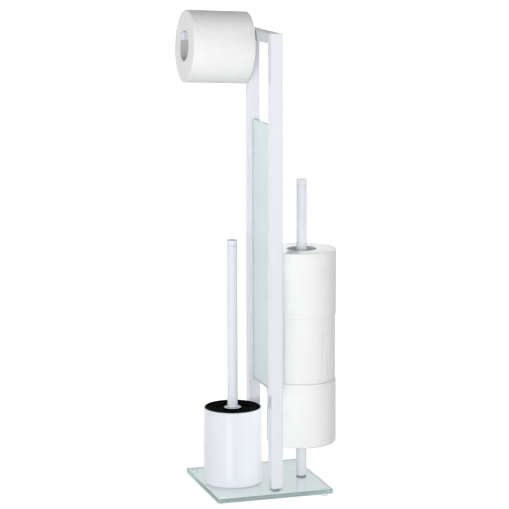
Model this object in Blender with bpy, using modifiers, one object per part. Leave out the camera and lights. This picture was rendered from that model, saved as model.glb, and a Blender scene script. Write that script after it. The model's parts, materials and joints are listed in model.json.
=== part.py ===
"""Toilet butler stand.

A glass base plate on bumper feet carries a frame of two square posts with a satin glass panel between
them, an arm for the roll in use, a rod for spare rolls, and a toilet brush in its holder.
"""

import math

import bmesh
import bpy

# Sizes are in metres and angles in degrees. X runs to the right, Y to the back and Z up.
# The sizes below are set on the base plate's centre; the last step moves the whole stand,
# so that the world origin lies on the floor under the middle of its outer box.

# Clearances
seat_gap = 0.0003
weld_distance = 0.000003
overrun = 0.01

# Base plate and its bumper feet
plate_width = 0.181
plate_depth = 0.181
plate_thickness = 0.0065
plate_corner_radius = 0.003
plate_chamfer = 0.0006
foot_diameter = 0.0105
foot_height = 0.005
foot_rounding = 0.0016
foot_inset = 0.011

# Screws, washers and threaded inserts under and in the tubes
screw_diameter = 0.006
screw_head_diameter = 0.011
screw_head_height = 0.0025
screw_grip = 0.01
socket_width = 0.0045
socket_depth = 0.0014
washer_diameter = 0.016
washer_thickness = 0.001
insert_height = 0.014
gasket_thickness = 0.0008
gasket_lip = 0.0004

# Frame of two posts and a top bar
frame_offset = 0.0096
frame_height = 0.7
post_size = 0.018
post_spacing = 0.114
tube_corner_radius = 0.0015
tube_wall = 0.0012
bar_height = 0.016

# Glass panel and the seals on its two edges
panel_thickness = 0.004
panel_bottom = 0.1585
panel_height = 0.404
panel_edge_depth = 0.005
panel_chamfer = 0.0004
seal_wall = 0.0005
seal_lip = 0.0008

# Arm for the roll in use, rising towards its tip
arm_size = 0.012
arm_wall = 0.001
arm_corner_radius = 0.001
arm_rise = 3.0
arm_drop = 0.0088
arm_tip_reach = 0.0027
arm_cap_thickness = 0.0015
arm_plug_length = 0.009

# Rolls of tissue on cardboard cores
core_bore = 0.044
core_wall = 0.0009
roll_edge_radius = 0.0012
hanging_roll_width = 0.096
hanging_roll_diameter = 0.1094
hanging_roll_clearance = 0.0004
spare_roll_width = 0.0999
spare_roll_diameter = 0.1065
spare_roll_clearance = 0.0045

# Rod for the spare rolls, with its stop
rod_diameter = 0.016
rod_top = 0.475
rod_wall = 0.0012
rod_gasket_lip = 0.0007
stop_height = 0.0673
stop_diameter = 0.056
stop_thickness = 0.0025
stop_hub_diameter = 0.024
stop_hub_height = 0.008
grub_diameter = 0.004

# End caps of the rod and of the brush handle
cap_height = 0.008
cap_edge_radius = 0.0008
cap_groove_drop = 0.0053
cap_groove_depth = 0.0003
cap_groove_width = 0.0006
cap_plug_length = 0.009

# Brush holder: steel cup with a rolled rim
holder_diameter = 0.089
holder_height = 0.116
holder_clearance = 0.0041
cup_wall = 0.0012
cup_floor = 0.0014
cup_foot_radius = 0.0022
rim_width = 0.0026
pad_inset = 0.0006
nut_width = 0.0115
nut_height = 0.004

# Brush holder: lift-out liner
liner_wall = 0.0018
liner_rise = 0.0006
liner_foot_radius = 0.004
liner_ring_width = 0.0118
liner_recess_height = 0.0075

# Brush
lid_thickness = 0.0018
lid_recess = 0.001
lid_border = 0.0135
lid_step_depth = 0.0025
boss_diameter = 0.0285
boss_height = 0.0013
flange_diameter = 0.0277
flange_thickness = 0.0011
handle_diameter = 0.016
handle_length = 0.2577
handle_wall = 0.0012
handle_insert_height = 0.014
neck_diameter = 0.011
neck_shoulder_diameter = 0.016
neck_shoulder_height = 0.004
neck_length = 0.028
neck_thread_length = 0.009
head_core_diameter = 0.024
bristle_tip_length = 0.014
bristle_rounding = 0.014
bristle_side_clearance = 0.005
bristle_floor_clearance = 0.0057

# How finely round shapes are cut
large_sides = 40
roll_sides = 36
small_sides = 20
tiny_sides = 12
hex_sides = 6
corner_steps = 3

# Levels above the floor, from the plate upwards
plate_bottom = foot_height + seat_gap
plate_top = plate_bottom + plate_thickness
stack_bottom = plate_top + gasket_thickness + 2 * seat_gap
washer_bottom = plate_bottom - seat_gap - washer_thickness
screw_head_top = washer_bottom - seat_gap
fastener_bore = screw_diameter + 2 * seat_gap

# Places across the plate, from its centre
rear_post_y = post_spacing / 2
front_post_y = -post_spacing / 2
post_left = frame_offset - post_size / 2
rod_x = frame_offset + panel_thickness / 2 + spare_roll_clearance + spare_roll_diameter / 2
holder_x = frame_offset - panel_thickness / 2 - holder_clearance - holder_diameter / 2

parts = bpy.data.collections.new("toilet_butler_stand")
cutters = bpy.data.collections.new("cutters")


def clear_scene():
    for obj in list(bpy.data.objects):
        bpy.data.objects.remove(obj, do_unlink=True)
    for collection in (parts, cutters):
        bpy.context.scene.collection.children.link(collection)


def finish_of(name, color, roughness, metallic=0.0, transmission=0.0):
    """A Principled material."""
    material = bpy.data.materials.new(name)
    material.use_nodes = True
    shader = material.node_tree.nodes["Principled BSDF"]
    shader.inputs["Base Color"].default_value = (*color, 1.0)
    shader.inputs["Roughness"].default_value = roughness
    shader.inputs["Metallic"].default_value = metallic
    shader.inputs["Transmission Weight"].default_value = transmission
    return material


finishes = {
    "white_steel": finish_of("white_steel", (0.86, 0.87, 0.9), 0.3),
    "white_plastic": finish_of("white_plastic", (0.84, 0.86, 0.88), 0.35),
    "clear_glass": finish_of("clear_glass", (0.75, 0.87, 0.84), 0.05, transmission=0.7),
    "satin_glass": finish_of("satin_glass", (0.68, 0.76, 0.76), 0.5),
    "clear_rubber": finish_of("clear_rubber", (0.85, 0.86, 0.85), 0.4, transmission=0.5),
    "seal_rubber": finish_of("seal_rubber", (0.62, 0.66, 0.66), 0.55),
    "gasket_rubber": finish_of("gasket_rubber", (0.25, 0.27, 0.28), 0.7),
    "zinc_steel": finish_of("zinc_steel", (0.6, 0.61, 0.63), 0.35, metallic=1.0),
    "black_plastic": finish_of("black_plastic", (0.012, 0.012, 0.014), 0.35),
    "grey_plastic": finish_of("grey_plastic", (0.35, 0.36, 0.37), 0.5),
    "bristle": finish_of("bristle", (0.03, 0.03, 0.033), 0.6),
    "tissue": finish_of("tissue", (0.88, 0.88, 0.87), 0.9),
    "cardboard": finish_of("cardboard", (0.56, 0.53, 0.49), 0.9),
}


def add(name, mesh, collection, parent=None, location=(0, 0, 0), rotation=(0, 0, 0)):
    obj = bpy.data.objects.new(name, mesh)
    obj.parent = parent
    obj.location = location
    obj.rotation_euler = [math.radians(angle) for angle in rotation]
    collection.objects.link(obj)
    return obj


def piece(name, mesh, finish, parent, location=(0, 0, 0), rotation=(0, 0, 0)):
    """One sub-part of the stand."""
    mesh.shade_smooth()
    mesh.set_sharp_from_angle(angle=math.radians(35))
    mesh.materials.append(finishes[finish])
    return add(name, mesh, parts, parent, location, rotation)


def helper(name, mesh, parent=None, location=(0, 0, 0), rotation=(0, 0, 0)):
    """A shape that cuts or joins a piece and isn't one itself."""
    obj = add(name, mesh, cutters, parent, location, rotation)
    obj.hide_render = True
    obj.display_type = "WIRE"
    return obj


def join_or_cut(obj, other, operation="DIFFERENCE"):
    boolean = obj.modifiers.new(other.name, "BOOLEAN")
    boolean.operation = operation
    boolean.object = other


def empty(name, parent=None, location=(0, 0, 0), rotation=(0, 0, 0)):
    return add(name, None, parts, parent, location, rotation)


def settled(name, data, modifiers=()):
    """The mesh that a curve or a profile makes once its modifiers are worked out."""
    guide = bpy.data.objects.new(name, data)
    bpy.context.scene.collection.objects.link(guide)
    for kind, values in modifiers:
        modifier = guide.modifiers.new(kind, kind)
        for key, value in values.items():
            setattr(modifier, key, value)
    graph = bpy.context.evaluated_depsgraph_get()
    mesh = bpy.data.meshes.new_from_object(guide.evaluated_get(graph))
    mesh.name = name
    bpy.data.objects.remove(guide)
    work = bmesh.new()
    work.from_mesh(mesh)
    bmesh.ops.remove_doubles(work, verts=work.verts, dist=weld_distance)
    work.to_mesh(mesh)
    work.free()
    return mesh


def turned(name, profile, sides=small_sides, closed=False):
    """A profile of (radius, height) points, down the outer side, turned about Z."""
    outline = bpy.data.meshes.new(name + "_profile")
    edges = [(index, index + 1) for index in range(len(profile) - 1)]
    if closed:
        edges.append((len(profile) - 1, 0))
    outline.from_pydata([(radius, 0, height) for radius, height in profile], edges, [])
    screw = {
        "axis": "Z",
        "steps": sides,
        "render_steps": sides,
        "use_merge_vertices": True,
        "merge_threshold": weld_distance,
    }
    return settled(name, outline, [("SCREW", screw)])


def extruded(name, outlines, height):
    """A flat outline, with any inner outlines as holes, raised from Z 0 to the height."""
    curve = bpy.data.curves.new(name, "CURVE")
    curve.dimensions = "2D"
    curve.fill_mode = "BOTH"
    curve.extrude = height / 2
    for outline in outlines:
        spline = curve.splines.new("POLY")
        spline.points.add(len(outline) - 1)
        for point, (x, y) in zip(spline.points, outline):
            point.co = (x, y, 0, 1)
        spline.use_cyclic_u = True
    mesh = settled(name, curve)
    for vertex in mesh.vertices:
        vertex.co.z += height / 2
    return mesh


def box(name, width, depth, height):
    """A box about the origin in X and Y, raised from Z 0 to the height."""
    return extruded(name, [rectangle(width, depth)], height)


def rectangle(width, depth):
    sides = ((-1, -1), (1, -1), (1, 1), (-1, 1))
    return [(side_x * width / 2, side_y * depth / 2) for side_x, side_y in sides]


def rounded_rectangle(width, depth, radius):
    points = []
    for corner, (side_x, side_y) in enumerate(((1, 1), (-1, 1), (-1, -1), (1, -1))):
        centre_x = side_x * (width / 2 - radius)
        centre_y = side_y * (depth / 2 - radius)
        for step in range(corner_steps + 1):
            angle = (corner + step / corner_steps) * math.pi / 2
            points.append((centre_x + radius * math.cos(angle), centre_y + radius * math.sin(angle)))
    return points


def circle(radius, sides=small_sides):
    turns = [2 * math.pi * step / sides for step in range(sides)]
    return [(radius * math.cos(turn), radius * math.sin(turn)) for turn in turns]


def arc(centre_radius, centre_height, radius, start, end, steps=corner_steps):
    """Points of a profile along an arc, with the angles measured from outwards to upwards."""
    angles = [math.radians(start + (end - start) * step / steps) for step in range(steps + 1)]
    return [
        (centre_radius + radius * math.cos(angle), centre_height + radius * math.sin(angle))
        for angle in angles
    ]


def ring(outer, inner, bottom, top):
    """Profile of a plain ring, for a closed turned shape."""
    return [(outer, top), (outer, bottom), (inner, bottom), (inner, top)]


def make_base(stand):
    """Glass plate with its screw holes, and a bumper foot near each corner."""
    outline = rounded_rectangle(plate_width, plate_depth, plate_corner_radius)
    places = fastener_places().values()
    hole = screw_diameter + 4 * seat_gap
    holes = [[(x + px, y + py) for px, py in circle(hole / 2)] for x, y in places]
    mesh = extruded("base_plate", [outline, *holes], plate_thickness)
    plate = piece("base_plate", mesh, "clear_glass", stand, (0, 0, plate_bottom))
    chamfer = plate.modifiers.new("ground_edges", "BEVEL")
    chamfer.width = plate_chamfer
    chamfer.segments = 1
    chamfer.limit_method = "ANGLE"
    chamfer.angle_limit = math.radians(60)
    foot_radius = foot_diameter / 2
    profile = [
        (0, foot_height),
        (foot_radius, foot_height),
        *arc(foot_radius - foot_rounding, foot_rounding, foot_rounding, 0, -90),
        (0, 0),
    ]
    for side_y, row in ((-1, "front"), (1, "rear")):
        for side_x, side in ((-1, "left"), (1, "right")):
            place = (
                side_x * (plate_width / 2 - foot_inset),
                side_y * (plate_depth / 2 - foot_inset),
                0,
            )
            name = f"foot_{row}_{side}"
            piece(name, turned(name, profile, small_sides), "clear_rubber", stand, place)


def fastener_places():
    """Where a screw comes up through the plate, and what it holds."""
    return {
        "front_post": (frame_offset, front_post_y),
        "rear_post": (frame_offset, rear_post_y),
        "rod": (rod_x, 0),
        "holder": (holder_x, 0),
    }


def make_fasteners(stand):
    """A socket screw and a washer under the plate below each thing that stands on it."""
    holder_screw_top = stack_bottom + cup_floor + seat_gap + nut_height
    for held, (x, y) in fastener_places().items():
        top = holder_screw_top if held == "holder" else stack_bottom + screw_grip
        radius = screw_diameter / 2
        head_radius = screw_head_diameter / 2
        head_bottom = screw_head_top - screw_head_height
        profile = [
            (0, top),
            (radius, top),
            (radius, screw_head_top),
            (head_radius, screw_head_top),
            (head_radius, head_bottom),
            (0, head_bottom),
        ]
        name = f"{held}_screw"
        screw = piece(name, turned(name, profile), "zinc_steel", stand, (x, y, 0))
        socket_mesh = extruded(f"{held}_socket", [circle(socket_width / 2, hex_sides)], socket_depth + overrun)
        socket = helper(f"{held}_socket", socket_mesh, stand, (x, y, head_bottom - overrun))
        join_or_cut(screw, socket)
        washer = ring(
            washer_diameter / 2, fastener_bore / 2, washer_bottom, washer_bottom + washer_thickness
        )
        name = f"{held}_washer"
        piece(name, turned(name, washer, closed=True), "grey_plastic", stand, (x, y, 0))


def make_post(stand, name, y, facing):
    """A square tube, closed on top, with a slot for the panel in the side that faces the other post."""
    length = frame_height - stack_bottom
    outline = rounded_rectangle(post_size, post_size, tube_corner_radius)
    mesh = extruded(name, [outline], length)
    post = piece(name, mesh, "white_steel", stand, (frame_offset, y, stack_bottom))
    bore_size = post_size - 2 * tube_wall
    bore = box(f"{name}_bore", bore_size, bore_size, length - tube_wall + overrun)
    join_or_cut(post, helper(f"{name}_bore", bore, post, (0, 0, -overrun)))
    slot_depth = post_size / 2 + overrun
    slot = box(f"{name}_slot", slot_width(), slot_depth, panel_height + 2 * seat_gap)
    slot_place = (0, facing * slot_depth / 2, panel_bottom - seat_gap - stack_bottom)
    join_or_cut(post, helper(f"{name}_slot", slot, post, slot_place))

    insert_size = bore_size - 2 * seat_gap
    outlines = [rectangle(insert_size, insert_size), circle(fastener_bore / 2)]
    insert = extruded(f"{name}_insert", outlines, insert_height)
    piece(f"{name}_insert", insert, "grey_plastic", stand, (frame_offset, y, stack_bottom))

    gasket_size = post_size + 2 * gasket_lip
    outlines = [
        rounded_rectangle(gasket_size, gasket_size, tube_corner_radius),
        circle(fastener_bore / 2),
    ]
    gasket = extruded(f"{name}_gasket", outlines, gasket_thickness)
    gasket_place = (frame_offset, y, plate_top + seat_gap)
    piece(f"{name}_gasket", gasket, "gasket_rubber", stand, gasket_place)


def slot_width():
    return panel_thickness + 2 * (seal_wall + 2 * seat_gap)


def make_top_bar(stand):
    length = post_spacing - post_size - 2 * seat_gap
    outlines = [
        rounded_rectangle(post_size, bar_height, tube_corner_radius),
        rectangle(post_size - 2 * tube_wall, bar_height - 2 * tube_wall),
    ]
    mesh = extruded("top_bar", outlines, length)
    place = (frame_offset, length / 2, frame_height - bar_height / 2)
    piece("top_bar", mesh, "white_steel", stand, place, (90, 0, 0))


def make_panel(stand):
    """Satin glass between the posts, each upright edge in a channel seal inside its post's slot."""
    width = post_spacing - post_size + 2 * panel_edge_depth
    mesh = box("glass_panel", panel_thickness, width, panel_height)
    panel = piece("glass_panel", mesh, "satin_glass", stand, (frame_offset, 0, panel_bottom))
    chamfer = panel.modifiers.new("ground_edges", "BEVEL")
    chamfer.width = panel_chamfer
    chamfer.segments = 1
    inner = panel_thickness / 2 + seat_gap
    outer = inner + seal_wall
    mouth = -panel_edge_depth - seal_lip
    floor = seat_gap
    back = floor + seal_wall
    channel = [
        (-outer, back),
        (-outer, mouth),
        (-inner, mouth),
        (-inner, floor),
        (inner, floor),
        (inner, mouth),
        (outer, mouth),
        (outer, back),
    ]
    for name, side, turn in (("panel_seal_front", -1, 180), ("panel_seal_rear", 1, 0)):
        place = (frame_offset, side * width / 2, panel_bottom)
        piece(name, extruded(name, [channel], panel_height), "seal_rubber", stand, place, (0, 0, turn))


def make_arm(stand):
    """Square tube welded to the rear post by its slanted root, with a plug cap. Returns the arm's axis."""
    root = (post_left, rear_post_y, frame_height - arm_root_depth())
    axis = empty("arm_axis", stand, root, (0, arm_rise, 0))
    length = arm_length()
    outlines = [
        rounded_rectangle(arm_size, arm_size, arm_corner_radius),
        rectangle(arm_size - 2 * arm_wall, arm_size - 2 * arm_wall),
    ]
    mesh = extruded("paper_arm", outlines, length)
    for vertex in mesh.vertices:
        if vertex.co.z < seat_gap:
            vertex.co.z = seat_gap + vertex.co.x * math.tan(math.radians(arm_rise))
    piece("paper_arm", mesh, "white_steel", axis, rotation=(0, -90, 0))

    cap_mesh = extruded(
        "paper_arm_cap",
        [rounded_rectangle(arm_size, arm_size, arm_corner_radius)],
        arm_cap_thickness,
    )
    cap_place = (-length - seat_gap, 0, 0)
    cap = piece("paper_arm_cap", cap_mesh, "white_plastic", axis, cap_place, (0, -90, 0))
    plug_size = arm_size - 2 * arm_wall - 2 * seat_gap
    plug_length = arm_plug_length + arm_cap_thickness / 2
    plug = box("arm_plug", plug_size, plug_size, plug_length)
    join_or_cut(cap, helper("arm_plug", plug, cap, (0, 0, -arm_plug_length)), "UNION")
    return axis


def arm_root_depth():
    """How far the arm's axis meets the rear post below the top of the frame."""
    return arm_drop + arm_size / 2 / math.cos(math.radians(arm_rise))


def hanging_roll_gap():
    """Along the arm, from the post's side to the roll, which leans towards the post's top."""
    return arm_root_depth() * math.sin(math.radians(arm_rise)) + hanging_roll_clearance


def arm_length():
    return hanging_roll_gap() + hanging_roll_width + arm_tip_reach


def make_roll(name, width, diameter, parent, location=(0, 0, 0), rotation=(0, 0, 0)):
    """Tissue wound on a cardboard core, from Z 0 to the width."""
    outer = diameter / 2
    core_radius = core_bore / 2
    bore = core_radius + core_wall + seat_gap
    edge = roll_edge_radius
    profile = [
        (outer - edge, width),
        (outer, width - edge),
        (outer, edge),
        (outer - edge, 0),
        (bore, 0),
        (bore, width),
    ]
    mesh = turned(f"{name}_paper", profile, roll_sides, closed=True)
    piece(f"{name}_paper", mesh, "tissue", parent, location, rotation)
    core = ring(core_radius + core_wall, core_radius, 0, width)
    mesh = turned(f"{name}_core", core, small_sides, closed=True)
    piece(f"{name}_core", mesh, "cardboard", parent, location, rotation)


def make_hanging_roll(arm_axis):
    """The roll in use, its core resting on the upper corners of the arm."""
    corner = arm_size / 2 - arm_corner_radius
    reach = core_bore / 2 - seat_gap - arm_corner_radius
    drop = math.sqrt(reach**2 - corner**2) - corner
    place = (-hanging_roll_gap(), 0, -drop)
    axis = empty("hanging_roll_axis", arm_axis, place)
    make_roll("hanging_roll", hanging_roll_width, hanging_roll_diameter, axis, rotation=(0, -90, 0))


def make_rod(stand):
    """Upright tube on the right of the frame, with its gasket, insert, cap and roll stop."""
    place = (rod_x, 0, 0)
    radius = rod_diameter / 2
    bore = radius - rod_wall
    top = rod_top - cap_height - seat_gap
    mesh = turned("spare_rod", ring(radius, bore, stack_bottom, top), closed=True)
    piece("spare_rod", mesh, "white_steel", stand, place)
    gasket = ring(
        radius + rod_gasket_lip,
        fastener_bore / 2,
        plate_top + seat_gap,
        plate_top + seat_gap + gasket_thickness,
    )
    mesh = turned("spare_rod_gasket", gasket, closed=True)
    piece("spare_rod_gasket", mesh, "gasket_rubber", stand, place)
    insert = ring(bore - seat_gap, fastener_bore / 2, stack_bottom, stack_bottom + insert_height)
    mesh = turned("spare_rod_insert", insert, closed=True)
    piece("spare_rod_insert", mesh, "grey_plastic", stand, place)
    make_cap(stand, "spare_rod_cap", radius, bore, (rod_x, 0, rod_top))

    stop_top = stop_height
    stop_bottom = stop_top - stop_thickness
    hub_bottom = stop_bottom - stop_hub_height
    hub_bore = radius + seat_gap
    profile = [
        (stop_diameter / 2, stop_top),
        (stop_diameter / 2, stop_bottom),
        (stop_hub_diameter / 2, stop_bottom),
        (stop_hub_diameter / 2, hub_bottom),
        (hub_bore, hub_bottom),
        (hub_bore, stop_top),
    ]
    mesh = turned("roll_stop", profile, roll_sides, closed=True)
    stop = piece("roll_stop", mesh, "white_steel", stand, place)
    grub_height = hub_bottom + stop_hub_height / 2
    hole_radius = grub_diameter / 2 + seat_gap
    hole = extruded("grub_hole", [circle(hole_radius, tiny_sides)], stop_hub_diameter)
    grub_place = (rod_x, hub_bore, grub_height)
    hole_place = (rod_x, radius / 2, grub_height)
    join_or_cut(stop, helper("grub_hole", hole, stand, hole_place, (-90, 0, 0)))
    grub_length = stop_hub_diameter / 2 - hub_bore
    grub = extruded("roll_stop_screw", [circle(grub_diameter / 2, tiny_sides)], grub_length)
    piece("roll_stop_screw", grub, "zinc_steel", stand, grub_place, (-90, 0, 0))


def make_cap(parent, name, radius, bore, place):
    """Cap with a shallow groove, its plug inside the tube and its flat top at the place's height."""
    plug = bore - seat_gap
    groove_top = -cap_groove_drop
    groove_bottom = groove_top - cap_groove_width
    profile = [
        (0, 0),
        *arc(radius - cap_edge_radius, -cap_edge_radius, cap_edge_radius, 90, 0),
        (radius, groove_top),
        (radius - cap_groove_depth, groove_top),
        (radius - cap_groove_depth, groove_bottom),
        (radius, groove_bottom),
        (radius, -cap_height),
        (plug, -cap_height),
        (plug, -cap_height - cap_plug_length),
        (0, -cap_height - cap_plug_length),
    ]
    piece(name, turned(name, profile), "white_plastic", parent, place)


def make_holder(stand):
    """Steel cup with a rolled rim on a thin pad, held by a screw and a nut inside. Returns its mouth."""
    place = (holder_x, 0, stack_bottom)
    radius = holder_diameter / 2
    bead = rim_width / 2
    foot = cup_foot_radius
    inner = radius - cup_wall
    profile = [
        *arc(radius - bead, holder_height - bead, bead, 180, 0, 2 * corner_steps),
        *arc(radius - foot, foot, foot, 0, -90),
        (fastener_bore / 2, 0),
        (fastener_bore / 2, cup_floor),
        (inner, cup_floor),
        (inner, holder_height - rim_width),
        (radius - rim_width, holder_height - rim_width),
    ]
    mesh = turned("holder_cup", profile, large_sides, closed=True)
    piece("holder_cup", mesh, "white_steel", stand, place)
    pad = ring(radius - foot - pad_inset, fastener_bore / 2, 0, gasket_thickness)
    mesh = turned("holder_pad", pad, large_sides, closed=True)
    piece("holder_pad", mesh, "gasket_rubber", stand, (holder_x, 0, plate_top + seat_gap))
    nut_outlines = [circle(nut_width / 2, hex_sides), circle(fastener_bore / 2)]
    nut = extruded("holder_nut", nut_outlines, nut_height)
    nut_place = (holder_x, 0, stack_bottom + cup_floor + seat_gap)
    piece("holder_nut", nut, "zinc_steel", stand, nut_place)


def make_liner(lift):
    """Lift-out bucket: a wide mouth with a ledge for the lid, and a floor raised over the nut."""
    bottom = cup_floor + seat_gap
    top = holder_height + liner_rise
    mouth = liner_mouth()
    shaft = mouth - liner_wall
    ledge = top - lid_recess - lid_thickness - seat_gap
    foot = liner_foot_radius
    recess = shaft - liner_ring_width
    floor = bottom + liner_recess_height
    inside_foot = foot - liner_wall
    profile = [
        (0, liner_floor()),
        (recess + liner_wall, liner_floor()),
        (recess + liner_wall, bottom + liner_wall),
        *arc(shaft - foot, bottom + foot, inside_foot, -90, 0),
        (shaft - liner_wall, ledge),
        (mouth - liner_wall, ledge),
        (mouth - liner_wall, top),
        (mouth, top),
        (mouth, ledge - liner_wall),
        (shaft, ledge - liner_wall),
        *arc(shaft - foot, bottom + foot, foot, 0, -90),
        (recess, bottom),
        (recess, floor),
        (0, floor),
    ]
    mesh = turned("holder_liner", profile, large_sides)
    piece("holder_liner", mesh, "black_plastic", lift)


def liner_mouth():
    """Outer radius of the liner's mouth, inside the cup's rolled rim."""
    return holder_diameter / 2 - rim_width - seat_gap


def liner_floor():
    """Height of the liner's raised floor, above the cup's underside."""
    return cup_floor + seat_gap + liner_recess_height + liner_wall


def make_brush(lift):
    """Brush that hangs in the liner by its dished lid. Its heights are above the cup's underside."""
    lid_top = holder_height + liner_rise - lid_recess
    lid_floor = lid_top - lid_step_depth
    lid_radius = liner_mouth() - liner_wall - seat_gap
    step = lid_radius - lid_border
    stud_bore = fastener_bore / 2
    under_floor = lid_floor - lid_thickness
    boss_top = lid_floor + boss_height
    boss = boss_diameter / 2
    profile = [
        (stud_bore, boss_top),
        (boss, boss_top),
        (boss, lid_floor),
        (step, lid_floor),
        (step, lid_top),
        (lid_radius, lid_top),
        (lid_radius, lid_top - lid_thickness),
        (step + lid_thickness, lid_top - lid_thickness),
        (step + lid_thickness, under_floor),
        (stud_bore, under_floor),
    ]
    mesh = turned("brush_lid", profile, large_sides, closed=True)
    piece("brush_lid", mesh, "black_plastic", lift)

    flange_bottom = boss_top + seat_gap
    flange_top = flange_bottom + flange_thickness
    flange = ring(flange_diameter / 2, stud_bore, flange_bottom, flange_top)
    mesh = turned("brush_flange", flange, roll_sides, closed=True)
    piece("brush_flange", mesh, "white_steel", lift)

    handle_bottom = flange_top + seat_gap
    radius = handle_diameter / 2
    bore = radius - handle_wall
    tube_top = handle_bottom + handle_length - cap_height - seat_gap
    mesh = turned("brush_handle", ring(radius, bore, handle_bottom, tube_top), closed=True)
    piece("brush_handle", mesh, "white_steel", lift)
    insert = ring(bore - seat_gap, stud_bore, handle_bottom, handle_bottom + handle_insert_height)
    mesh = turned("brush_handle_insert", insert, closed=True)
    piece("brush_handle_insert", mesh, "grey_plastic", lift)
    make_cap(lift, "brush_handle_cap", radius, bore, (0, 0, handle_bottom + handle_length))

    neck_top = under_floor - seat_gap
    neck_bottom = neck_top - neck_length
    stud = screw_diameter / 2
    profile = [
        (0, handle_bottom + screw_grip),
        (stud, handle_bottom + screw_grip),
        (stud, neck_top),
        (neck_shoulder_diameter / 2, neck_top),
        (neck_shoulder_diameter / 2, neck_top - neck_shoulder_height / 2),
        (neck_diameter / 2, neck_top - neck_shoulder_height),
        (neck_diameter / 2, neck_bottom),
        (stud, neck_bottom),
        (stud, neck_bottom - neck_thread_length),
        (0, neck_bottom - neck_thread_length),
    ]
    piece("brush_neck", turned("brush_neck", profile), "black_plastic", lift)
    make_brush_head(lift, neck_bottom - seat_gap)


def make_brush_head(lift, top):
    """Core that screws on the neck, and the round head of bristles about it."""
    bristle_bottom = liner_floor() + bristle_floor_clearance
    bristle_radius = liner_mouth() - 2 * liner_wall - bristle_side_clearance
    radius = head_core_diameter / 2
    bottom = bristle_bottom + bristle_tip_length
    thread = screw_diameter / 2 + seat_gap
    thread_bottom = top - neck_thread_length
    profile = [
        (0, thread_bottom),
        (thread, thread_bottom),
        (thread, top),
        (radius, top),
        *arc(0, bottom + radius, radius, 0, -90, 2 * corner_steps),
    ]
    piece("brush_head_core", turned("brush_head_core", profile), "black_plastic", lift)
    rounding = bristle_rounding
    hollow = radius + seat_gap
    profile = [
        *arc(0, bottom + radius, hollow, -90, 0, 2 * corner_steps),
        (hollow, top),
        *arc(bristle_radius - rounding, top - rounding, rounding, 90, 0),
        *arc(bristle_radius - rounding, bristle_bottom + rounding, rounding, 0, -90),
        (0, bristle_bottom),
    ]
    mesh = turned("brush_bristles", profile, roll_sides)
    piece("brush_bristles", mesh, "bristle", lift)


def outer_box():
    """Lowest and highest X and Y of the whole stand, about the plate's centre."""
    rise = math.radians(arm_rise)
    reach = arm_length() + seat_gap + arm_cap_thickness
    arm_tip = post_left - reach * math.cos(rise) - arm_size / 2 * math.sin(rise)
    left = min(-plate_width / 2, arm_tip)
    right = max(plate_width / 2, rod_x + spare_roll_diameter / 2)
    front = min(-plate_depth / 2, -spare_roll_diameter / 2)
    back = max(plate_depth / 2, rear_post_y + hanging_roll_diameter / 2)
    return left, right, front, back


def make_stand():
    left, right, front, back = outer_box()
    stand = empty("stand", location=(-(left + right) / 2, -(front + back) / 2, 0))
    make_base(stand)
    make_fasteners(stand)
    make_post(stand, "front_post", front_post_y, 1)
    make_post(stand, "rear_post", rear_post_y, -1)
    make_top_bar(stand)
    make_panel(stand)
    make_hanging_roll(make_arm(stand))
    make_rod(stand)
    for index, name in enumerate(("lower", "middle", "upper")):
        height = stop_height + seat_gap + index * (spare_roll_width + seat_gap)
        lift = empty(f"spare_roll_{name}_lift", stand, (rod_x, 0, height))
        make_roll(f"spare_roll_{name}", spare_roll_width, spare_roll_diameter, lift)
    make_holder(stand)
    liner_lift = empty("liner_lift", stand, (holder_x, 0, stack_bottom))
    make_liner(liner_lift)
    make_brush(empty("brush_lift", liner_lift))


clear_scene()
make_stand()
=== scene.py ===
"""Looks of the toilet butler stand: its finishes, fine surfaces, tissue, bristles, light and camera.

Lengths are in metres and angles in degrees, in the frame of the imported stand: X runs to the right,
Y to the back and Z up, with the origin on the floor under the middle of the stand.
"""

import json
import math
import random
from typing import NamedTuple

import bmesh
import bpy
from mathutils import Matrix, Vector, noise


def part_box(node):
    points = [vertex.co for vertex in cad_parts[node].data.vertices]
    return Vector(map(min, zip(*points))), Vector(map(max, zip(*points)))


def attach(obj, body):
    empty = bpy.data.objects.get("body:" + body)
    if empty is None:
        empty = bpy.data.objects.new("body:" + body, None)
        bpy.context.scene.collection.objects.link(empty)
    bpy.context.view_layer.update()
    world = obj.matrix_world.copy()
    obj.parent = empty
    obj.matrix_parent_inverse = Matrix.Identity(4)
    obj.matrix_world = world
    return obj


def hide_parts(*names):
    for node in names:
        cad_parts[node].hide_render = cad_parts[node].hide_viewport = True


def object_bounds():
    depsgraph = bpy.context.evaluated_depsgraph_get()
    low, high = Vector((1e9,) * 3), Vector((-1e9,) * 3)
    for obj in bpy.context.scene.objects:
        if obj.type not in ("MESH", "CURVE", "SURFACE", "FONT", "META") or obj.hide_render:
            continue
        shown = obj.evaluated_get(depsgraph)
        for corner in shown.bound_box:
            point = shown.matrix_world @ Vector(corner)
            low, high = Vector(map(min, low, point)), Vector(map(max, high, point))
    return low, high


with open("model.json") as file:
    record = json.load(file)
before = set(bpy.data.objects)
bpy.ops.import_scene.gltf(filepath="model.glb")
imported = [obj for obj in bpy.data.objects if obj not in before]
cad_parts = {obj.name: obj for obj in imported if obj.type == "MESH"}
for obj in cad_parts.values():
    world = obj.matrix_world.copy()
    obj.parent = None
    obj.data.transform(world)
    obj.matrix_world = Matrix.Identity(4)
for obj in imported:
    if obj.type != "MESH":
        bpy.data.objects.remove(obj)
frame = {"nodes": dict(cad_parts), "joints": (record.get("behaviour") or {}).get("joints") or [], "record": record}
solid_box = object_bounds()
record = frame["record"]
body_of = {node: body for body, nodes in record["behaviour"]["bodies"].items() for node in nodes}
slot_of = {part["node"]: part["material_slot"] for part in record["subparts"]}
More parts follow.
